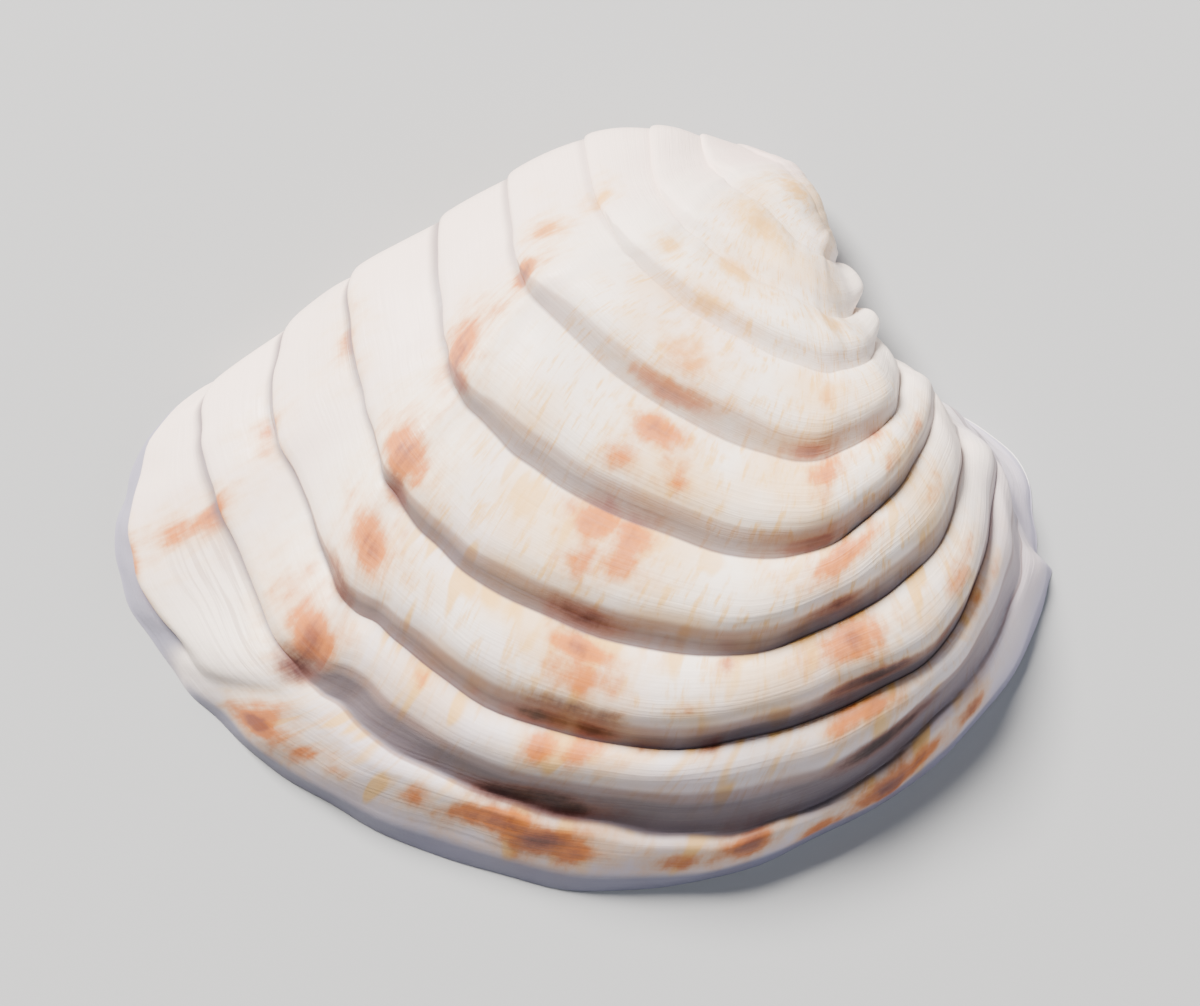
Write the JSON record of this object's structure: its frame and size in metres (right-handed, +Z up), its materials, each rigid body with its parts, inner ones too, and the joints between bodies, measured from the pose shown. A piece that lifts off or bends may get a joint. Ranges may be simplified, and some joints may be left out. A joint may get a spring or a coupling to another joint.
{
  "type": "venus clam shell valve",
  "caption": "Right half of a venus clam shell with thick concentric ridges, lying open side down on its flat rim.",
  "frame": {"origin": "centre of the bounding box in plan, on the plane of the rim", "axes": "+X to the front end of the animal, +Y to the hinge and beak, +Z up out of the rim plane"},
  "size_m": [0.036, 0.029, 0.0094],
  "materials": {
    "shell": "smooth satin shell, cream with orange-brown blotches in rays and grey-lavender grooves, white inside"
  },
  "bodies": {
    "root": {"valve": "shell"}
  },
  "joints": []
}
